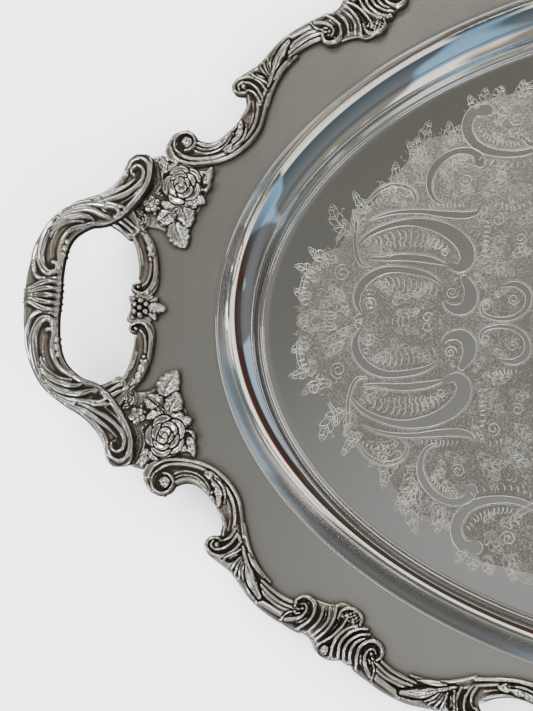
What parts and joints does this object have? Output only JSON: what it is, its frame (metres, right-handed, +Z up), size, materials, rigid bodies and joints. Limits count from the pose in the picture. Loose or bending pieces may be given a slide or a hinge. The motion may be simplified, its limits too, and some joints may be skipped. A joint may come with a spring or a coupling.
{
  "type": "two-handled serving tray",
  "caption": "Oval two-handled serving tray: flat engraved well, deep polished cove, flat rim with an applied cast scroll, shell and rose border, arched end handles.",
  "frame": {"origin": "centre of the tray on the underside of the well floor, which is the face it rests on", "axes": "+X along the long axis through the handles, +Y towards one long side, +Z up"},
  "size_m": [0.7286, 0.446, 0.0603],
  "materials": {
    "polished_silver": "polished silver plate, hazed by fine wear on the rim and the floor",
    "cast_silver": "cast silver plate with polished high points and dark oxide left in the recesses"
  },
  "bodies": {
    "root": {"corner_scroll_end_back_left": "cast_silver", "corner_scroll_end_back_right": "cast_silver", "corner_scroll_end_front_left": "cast_silver", "corner_scroll_end_front_right": "cast_silver", "corner_scroll_side_back_left": "cast_silver", "corner_scroll_side_back_right": "cast_silver", "corner_scroll_side_front_left": "cast_silver", "corner_scroll_side_front_right": "cast_silver", "corner_shell_back_left": "cast_silver", "corner_shell_back_right": "cast_silver", "corner_shell_front_left": "cast_silver", "corner_shell_front_right": "cast_silver", "end_hollow_scroll_back_left": "cast_silver", "end_hollow_scroll_back_right": "cast_silver", "end_hollow_scroll_front_left": "cast_silver", "end_hollow_scroll_front_right": "cast_silver", "handle_flower_left": "cast_silver", "handle_flower_right": "cast_silver", "handle_grip_left": "cast_silver", "handle_grip_right": "cast_silver", "handle_rail_back_left": "cast_silver", "handle_rail_back_right": "cast_silver", "handle_rail_front_left": "cast_silver", "handle_rail_front_right": "cast_silver", "middle_scroll_back_left": "cast_silver", "middle_scroll_back_right": "cast_silver", "middle_scroll_front_left": "cast_silver", "middle_scroll_front_right": "cast_silver", "middle_shell_back": "cast_silver", "middle_shell_front": "cast_silver", "rose_spray_back_left": "cast_silver", "rose_spray_back_right": "cast_silver", "rose_spray_front_left": "cast_silver", "rose_spray_front_right": "cast_silver", "side_hollow_scroll_back_left": "cast_silver", "side_hollow_scroll_back_right": "cast_silver", "side_hollow_scroll_front_left": "cast_silver", "side_hollow_scroll_front_right": "cast_silver", "tray_body": "polished_silver"}
  },
  "joints": []
}
